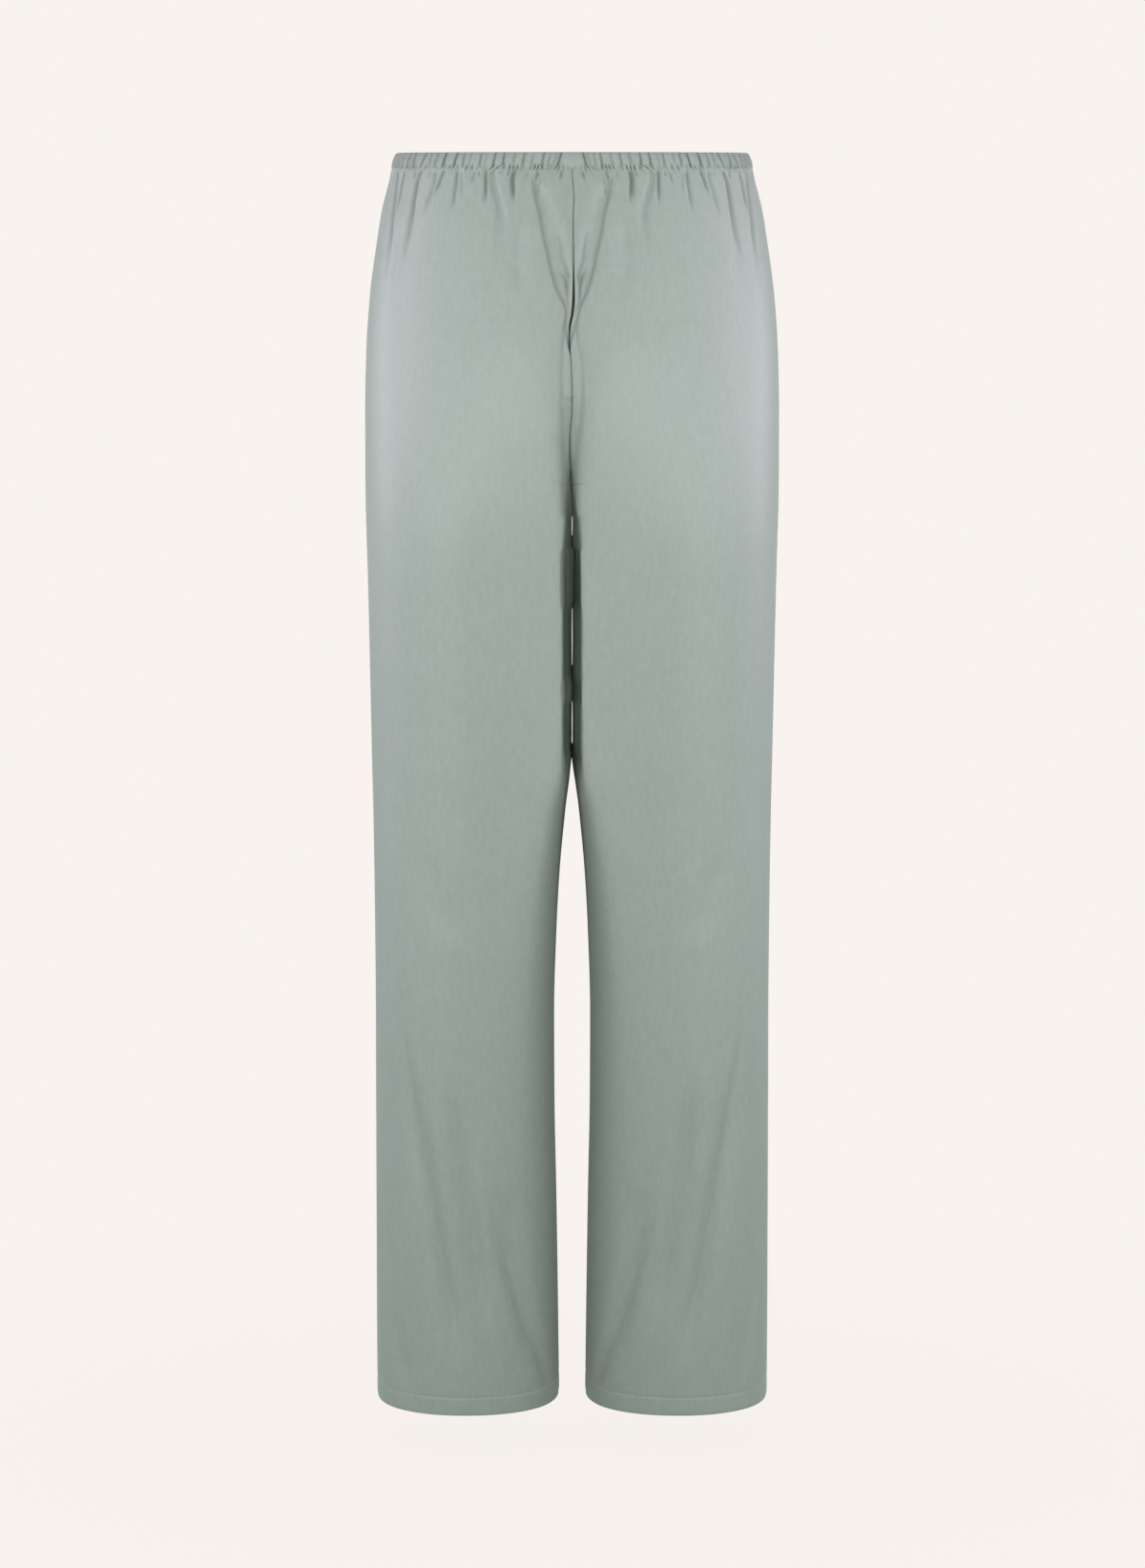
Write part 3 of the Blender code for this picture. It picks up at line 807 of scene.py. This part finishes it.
def casing_quarter(face):
    """Points of the left half of the casing's back or front, round its profile."""
    shares = np.linspace(0, 1, CASING_COLUMNS + 1)
    rows = []
    for height, inwards in CASING_PROFILE:
        drop = -height
        x, y, out_x, out_y, length = level_row(face, min(drop, CASING_FOOT), shares)
        across = shares * length
        up = np.clip((height + CASING_FOOT) / (CASING_TOP + CASING_FOOT), 0, 1)
        puff = CASING_PUFF * (1 - (2 * up - 1) ** 2)
        relief = casing_relief(face, across, height, length)
        if inwards > 1.0:
            relief = relief * 0.6
        near = np.exp(-(((height + CASING_FOOT) / 2.6) ** 2))
        relief = relief * smooth((height + CASING_FOOT + 0.4) / 2.2)
        relief = relief + near * pucker_relief(face, across, -height)
        relief = relief * smooth(1 - (inwards - 0.9) / 4)
        relief = relief + CASING_PROUD + puff - inwards
        px = x + out_x * relief
        py = y + out_y * relief
        pz = height - dip(face, shares, min(drop, CASING_FOOT))
        rows.append(np.stack([px, py, pz], axis=1))
    return np.array(rows)


def make_casing(material):
    back, front = casing_quarter("back"), casing_quarter("front")
    back[:, :, 1] *= -1
    mirror = np.array([-1, 1, 1])
    quarters = [back[:, :-1], back[:, :0:-1] * mirror, front[:, :-1] * mirror, front[:, :0:-1]]
    ring = np.concatenate(quarters, axis=1)
    rows, columns = ring.shape[:2]
    faces = grid_faces(rows, columns, True, False)
    return mesh_object("casing_shell", (ring * MM).reshape(-1, 3).tolist(), faces, material)


def stitch_row(places, outs):
    """Small rounded dashes along a line of points, each a little pillow of thread."""
    reached = np.concatenate([[0.0], np.cumsum(np.linalg.norm(np.diff(places, axis=0), axis=1))])
    total = reached[-1]
    count = int(total // STITCH_PITCH)
    points, faces = [], []
    sides = 6
    profile = [(-0.5, 0.25), (-0.42, 0.8), (0.0, 1.0), (0.42, 0.8), (0.5, 0.25)]

    def at(table, spot):
        return np.array([np.interp(spot, reached, table[:, k]) for k in range(3)])

    for stitch in range(count):
        middle = (stitch + 0.5) * total / count
        base = len(points)
        for part, size in profile:
            spot = middle + part * STITCH_LENGTH
            spot = min(max(spot, 0.0), total)
            centre = at(places, spot)
            out = at(outs, spot)
            out /= np.linalg.norm(out)
            tangent = at(places, min(spot + 0.3, total)) - at(places, max(spot - 0.3, 0.0))
            tangent /= np.linalg.norm(tangent)
            up = np.cross(tangent, out)
            up /= np.linalg.norm(up)
            sink = 0.10 * (2 * part) ** 4
            radius = STITCH_THICK / 2 * size
            for side in range(sides):
                turn = 2 * math.pi * side / sides
                points.append(centre + radius * (math.cos(turn) * out + math.sin(turn) * up) - sink * out)
        for ring in range(len(profile) - 1):
            for side in range(sides):
                after = (side + 1) % sides
                a = base + ring * sides
                faces.append((a + side, a + after, a + sides + after, a + sides + side))
        faces.append(tuple(base + side for side in reversed(range(sides))))
        tail = base + (len(profile) - 1) * sides
        faces.append(tuple(tail + side for side in range(sides)))
    return points, faces


def surface_line(face, drop, inset, relief_of):
    """A line once along the left half at this drop, and its outward directions."""
    shares = np.linspace(0.004, 0.996, 400)
    x, y, out_x, out_y, length = level_row(face, drop, shares)
    relief = relief_of(shares * length, length) - inset
    outwards = -1 if face == "back" else 1
    z = -drop - dip(face, shares, drop)
    places = np.stack([x + out_x * relief, outwards * (y + out_y * relief), z], axis=1)
    outs = np.stack([out_x, outwards * out_y, 0 * out_x], axis=1)
    return places, outs


def make_stitches(name, lines, material):
    points, faces = [], []
    for places, outs in lines:
        for side in (1, -1):
            turned = places * np.array([side, 1, 1])
            turned_outs = outs * np.array([side, 1, 1])
            more, more_faces = stitch_row(turned, turned_outs)
            start = len(points)
            points += more
            faces += [tuple(start + k for k in more_face) for more_face in more_faces]
    return mesh_object(name, (np.array(points) * MM).tolist(), faces, material)


# ---------------------------------------------------------------- materials
def node(tree, kind, **values):
    made = tree.nodes.new(kind)
    for name, value in values.items():
        setattr(made, name, value)
    return made


def satin_material(name):
    """Satin with a soft sheen, a fine upright grain and faint patches of tone."""
    material = bpy.data.materials.new(name)
    material.use_nodes = True
    tree = material.node_tree
    shader = tree.nodes["Principled BSDF"]
    shader.inputs["Metallic"].default_value = 0.0
    shader.inputs["IOR"].default_value = 1.5
    shader.inputs["Specular IOR Level"].default_value = 0.5
    shader.inputs["Sheen Weight"].default_value = 0.25
    shader.inputs["Sheen Roughness"].default_value = 0.45
    place = node(tree, "ShaderNodeTexCoord")

    def noise(scale, stretch, detail):
        mapping = node(tree, "ShaderNodeMapping")
        mapping.inputs["Scale"].default_value = stretch
        tree.links.new(place.outputs["Object"], mapping.inputs["Vector"])
        made = node(tree, "ShaderNodeTexNoise")
        made.inputs["Scale"].default_value = scale
        made.inputs["Detail"].default_value = detail
        tree.links.new(mapping.outputs["Vector"], made.inputs["Vector"])
        return made

    def ranged(source, low, high):
        made = node(tree, "ShaderNodeMapRange")
        made.inputs["From Min"].default_value = 0.3
        made.inputs["From Max"].default_value = 0.7
        made.inputs["To Min"].default_value = low
        made.inputs["To Max"].default_value = high
        tree.links.new(source, made.inputs["Value"])
        return made.outputs["Result"]

    patches = noise(60.0, (1, 1, 0.5), 4.0)
    mottle = noise(300.0, (1, 1, 0.35), 4.0)
    grain = noise(900.0, (1, 1, 0.10), 2.0)

    tint = node(tree, "ShaderNodeMix", data_type="RGBA")
    green = tuple(c * k for c, k in zip(SATIN_COLOUR, (0.992, 1.004, 0.992)))
    lilac = tuple(c * k for c, k in zip(SATIN_COLOUR, (1.01, 0.996, 1.01)))
    tint.inputs["A"].default_value = green + (1,)
    tint.inputs["B"].default_value = lilac + (1,)
    tree.links.new(ranged(patches.outputs["Fac"], 0, 1), tint.inputs["Factor"])

    shade = node(tree, "ShaderNodeMix", data_type="RGBA", blend_type="MULTIPLY")
    shade.inputs["Factor"].default_value = 1.0
    tree.links.new(tint.outputs["Result"], shade.inputs["A"])
    tone = ranged(mottle.outputs["Fac"], 0.955, 1.045)
    grey = node(tree, "ShaderNodeCombineColor")
    for channel in ("Red", "Green", "Blue"):
        tree.links.new(tone, grey.inputs[channel])
    tree.links.new(grey.outputs["Color"], shade.inputs["B"])
    tree.links.new(shade.outputs["Result"], shader.inputs["Base Color"])

    tree.links.new(ranged(mottle.outputs["Fac"], 0.40, 0.50), shader.inputs["Roughness"])

    bump = node(tree, "ShaderNodeBump")
    bump.inputs["Strength"].default_value = 0.25
    bump.inputs["Distance"].default_value = 0.0002
    tree.links.new(grain.outputs["Fac"], bump.inputs["Height"])
    tree.links.new(bump.outputs["Normal"], shader.inputs["Normal"])
    return material


def thread_material():
    material = bpy.data.materials.new("thread")
    material.use_nodes = True
    tree = material.node_tree
    shader = tree.nodes["Principled BSDF"]
    shader.inputs["Roughness"].default_value = 0.5
    shader.inputs["Sheen Weight"].default_value = 0.2
    place = node(tree, "ShaderNodeTexCoord")
    twist = node(tree, "ShaderNodeTexNoise")
    twist.inputs["Scale"].default_value = 1500.0
    tree.links.new(place.outputs["Object"], twist.inputs["Vector"])
    tint = node(tree, "ShaderNodeMix", data_type="RGBA")
    tint.inputs["A"].default_value = tuple(0.9 * c for c in THREAD_COLOUR) + (1,)
    tint.inputs["B"].default_value = tuple(1.1 * c for c in THREAD_COLOUR) + (1,)
    tree.links.new(twist.outputs["Fac"], tint.inputs["Factor"])
    tree.links.new(tint.outputs["Result"], shader.inputs["Base Color"])
    return material


# ---------------------------------------------------------------- camera, light and floor
def srgb(*values):
    return tuple(((v / 255 + 0.055) / 1.055) ** 2.4 for v in values)


GROUND = srgb(248, 243, 239)


def make_camera():
    camera = bpy.data.objects.new("camera", bpy.data.cameras.new("camera"))
    bpy.context.scene.collection.objects.link(camera)
    camera.location = (0.00032, -4.62, -0.03)
    camera.rotation_euler = (math.radians(90 - 6.0489), 0, 0)
    camera.data.sensor_width = 36
    camera.data.lens = 127.245
    camera.data.clip_end = 100
    bpy.context.scene.camera = camera


def area_light(name, place, aim, lamp, power, lit):
    """A square soft box that lights only these pieces."""
    data = bpy.data.lights.new(name, "AREA")
    data.shape = "RECTANGLE"
    data.size = lamp.size
    data.size_y = lamp.size
    data.energy = power
    data.color = lamp.colour
    light = bpy.data.objects.new(name, data)
    bpy.context.scene.collection.objects.link(light)
    light.location = place
    light.rotation_euler = (Vector(aim) - Vector(place)).to_track_quat("-Z", "Y").to_euler()
    collection = bpy.data.collections.new(name + "_lit")
    for piece in lit:
        collection.objects.link(piece)
    light.light_linking.receiver_collection = collection


Lamp = namedtuple("Lamp", "name angle height distance size power colour")
# Pairs of soft boxes: degrees from the camera's side, height, distance, size and power. Each
# lights its own half, as the photo's halves are one half mirrored.
SIDE_LAMPS = [
    Lamp("front", 15, -0.25, 1.5, 0.6, 5.8, (1.0, 0.98, 1.0)),
    Lamp("across", -35, 0.10, 1.4, 0.6, 4.8, (1.0, 0.97, 1.05)),
    Lamp("near", 45, -0.25, 1.4, 0.6, 3.0, (1.0, 0.91, 1.05)),
    Lamp("near_high", 45, 0.20, 1.4, 0.6, 0.8, (0.8, 1.15, 0.95)),
    Lamp("across_low", -40, -0.80, 1.4, 0.6, 0.5, (1.0, 0.97, 1.05)),
    Lamp("side", 80, 0.08, 1.3, 0.5, 3.6, (1.05, 0.93, 1.08)),
    Lamp("rim", 112, -0.12, 1.3, 0.5, 2.6, (1.05, 0.92, 1.0)),
    Lamp("rim_far", 110, 0.20, 2.3, 0.8, 2.0, (0.9, 0.6, 1.6)),
]
# More pairs, on the hidden side. In each half they light the front panel.
FRONT_LAMPS = [
    Lamp("behind", 168, 0.10, 1.6, 0.6, 4.6, (1.05, 0.93, 1.0)),
    Lamp("behind_low", 150, -0.60, 1.6, 0.6, 3.0, (1.05, 0.93, 1.0)),
]
# The casing and the stitches go all round, so weaker copies of every lamp of both halves light
# them, at this share of its power.
WHOLE_SHARE = 0.55
# The light from below, from the level and from above, in red, green and blue.
SKY = ((0.419, 0.318, 0.337), (0.136, 0.314, 0.193), (0.550, 0.380, 0.457))


def make_sky():
    """Soft light from all round, which shades from SKY's first colour upwards to its last."""
    world = bpy.data.worlds.new("studio")
    bpy.context.scene.world = world
    world.use_nodes = True
    tree = world.node_tree
    sky = tree.nodes["Background"]
    place = node(tree, "ShaderNodeTexCoord")
    parts = node(tree, "ShaderNodeSeparateXYZ")
    tree.links.new(place.outputs["Generated"], parts.inputs["Vector"])
    ramp = node(tree, "ShaderNodeValToRGB")
    ramp.color_ramp.interpolation = "EASE"
    ramp.color_ramp.elements.new(0.5)
    for element, spot, colour in zip(ramp.color_ramp.elements, (0.0, 0.5, 1.0), SKY):
        element.position = spot
        element.color = colour + (1,)
    height = node(tree, "ShaderNodeMapRange")
    height.inputs["From Min"].default_value = -1.0
    height.inputs["From Max"].default_value = 1.0
    tree.links.new(parts.outputs["Z"], height.inputs["Value"])
    tree.links.new(height.outputs["Result"], ramp.inputs["Fac"])
    tree.links.new(ramp.outputs["Color"], sky.inputs["Color"])


def make_lights(left, right, whole):
    """Each half's lamps, and weaker copies for the pieces that go all round."""
    make_sky()
    for lamp in SIDE_LAMPS + FRONT_LAMPS:
        angle = math.radians(lamp.angle)
        out, back = lamp.distance * math.sin(angle), -lamp.distance * math.cos(angle)
        for side, word, lit in ((-1, "left", left), (1, "right", right)):
            place = (side * out, back, lamp.height)
            aim = (side * 0.08, 0, 0.5 * lamp.height - 0.25)
            if lamp in FRONT_LAMPS:
                lit = [piece for piece in lit if piece.name.startswith("front")]
            name = f"{lamp.name}_{word}"
            area_light(name, place, aim, lamp, lamp.power, lit)
            area_light(name + "_whole", place, aim, lamp, WHOLE_SHARE * lamp.power, whole)


FLOOR_SHARE = 0.05  # how much of its tone the floor near the hems takes from the lamps
FLOOR_LIGHT = 0.75  # the light that the floor takes near the hems, as a share of white


def ground_piece(name, mesh):
    """An object from this mesh in the ground's tone, its material's nodes and its shader."""
    data = bpy.data.meshes.new(name)
    mesh.to_mesh(data)
    mesh.free()
    piece = bpy.data.objects.new(name, data)
    bpy.context.scene.collection.objects.link(piece)
    material = bpy.data.materials.new(name)
    material.use_nodes = True
    data.materials.append(material)
    shader = material.node_tree.nodes["Principled BSDF"]
    shader.inputs["Roughness"].default_value = 1.0
    shader.inputs["Specular IOR Level"].default_value = 0.0
    shader.inputs["Emission Color"].default_value = GROUND + (1,)
    return piece, material.node_tree, shader


def make_ground():
    """A pale floor under the hems, and a pale backdrop round everything."""
    mesh = bmesh.new()
    bmesh.ops.create_circle(mesh, cap_ends=True, radius=7.0, segments=96)
    floor, tree, shader = ground_piece("floor", mesh)
    floor.location = (0, 0, -1.075)
    # Close to the hems the floor takes light and shadow. Further off it fades into the backdrop.
    place = node(tree, "ShaderNodeTexCoord")
    reach = node(tree, "ShaderNodeVectorMath", operation="LENGTH")
    tree.links.new(place.outputs["Object"], reach.inputs[0])
    near = node(tree, "ShaderNodeMapRange", interpolation_type="SMOOTHSTEP")
    near.inputs["From Min"].default_value = 0.15
    near.inputs["From Max"].default_value = 1.1
    near.inputs["To Min"].default_value = FLOOR_SHARE
    near.inputs["To Max"].default_value = 0.0
    tree.links.new(reach.outputs["Value"], near.inputs["Value"])
    ground = node(tree, "ShaderNodeMix", data_type="RGBA")
    ground.inputs["A"].default_value = (0, 0, 0, 1)
    ground.inputs["B"].default_value = GROUND + (1,)
    tree.links.new(near.outputs["Result"], ground.inputs["Factor"])
    tree.links.new(ground.outputs["Result"], shader.inputs["Base Color"])
    rest = node(tree, "ShaderNodeMath", operation="MULTIPLY_ADD")
    rest.inputs[1].default_value = -FLOOR_LIGHT
    rest.inputs[2].default_value = 1.0
    tree.links.new(near.outputs["Result"], rest.inputs[0])
    tree.links.new(rest.outputs["Value"], shader.inputs["Emission Strength"])

    mesh = bmesh.new()
    bmesh.ops.create_uvsphere(mesh, u_segments=48, v_segments=24, radius=20.0)
    dome, _, shader = ground_piece("backdrop", mesh)
    shader.inputs["Base Color"].default_value = (0, 0, 0, 1)
    shader.inputs["Emission Strength"].default_value = 1.0
    for stage in (floor, dome):
        stage.visible_diffuse = False
        stage.visible_glossy = False
        stage.visible_shadow = False


def main():
    scene = bpy.context.scene
    scene.view_settings.view_transform = "Standard"
    scene.view_settings.look = "None"
    make_camera()
    make_ground()
    satin = satin_material("satin")
    thread = thread_material()
    panels = []
    for face in ("back", "front"):
        for word, side in (("left", -1), ("right", 1)):
            name = f"{face}_{word}"
            shell = make_panel(name + "_shell", face, side, satin)
            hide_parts(name)
            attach(shell, "root")
            panels.append(shell)
    casing = make_casing(satin)
    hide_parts("waist_casing")
    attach(casing, "root")

    hem_drop = HEM_DROP - HEM_TURN_UP
    hem_lines = []
    casing_lines = []
    for face in ("back", "front"):

        def on_hem(across, length, face=face):
            return (
                fold_relief(FOLDS[face], across, hem_drop)
                + fold_relief(CREASES[face], across, hem_drop)
                + soft_relief(face, across, np.array(hem_drop))
                - SEAM_DIP * np.exp(-((np.minimum(across, length - across) / SEAM_DIP_WIDTH) ** 2))
                - STITCH_SINK
            )

        def on_casing(across, length, face=face):
            return (
                0.8 * casing_relief(face, across, -CASING_FOOT, length)
                + pucker_relief(face, across, CASING_FOOT)
            )

        hem_lines.append(surface_line(face, hem_drop, -0.12, on_hem))
        casing_lines.append(surface_line(face, CASING_FOOT, 0.1, on_casing))
    whole = [casing]
    for name, lines in (("hem_stitches", hem_lines), ("casing_stitches", casing_lines)):
        stitches = make_stitches(name, lines, thread)
        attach(stitches, "root")
        whole.append(stitches)
    left = [panel for panel in panels if "left" in panel.name]
    right = [panel for panel in panels if "right" in panel.name]
    make_lights(left, right, whole)


main()
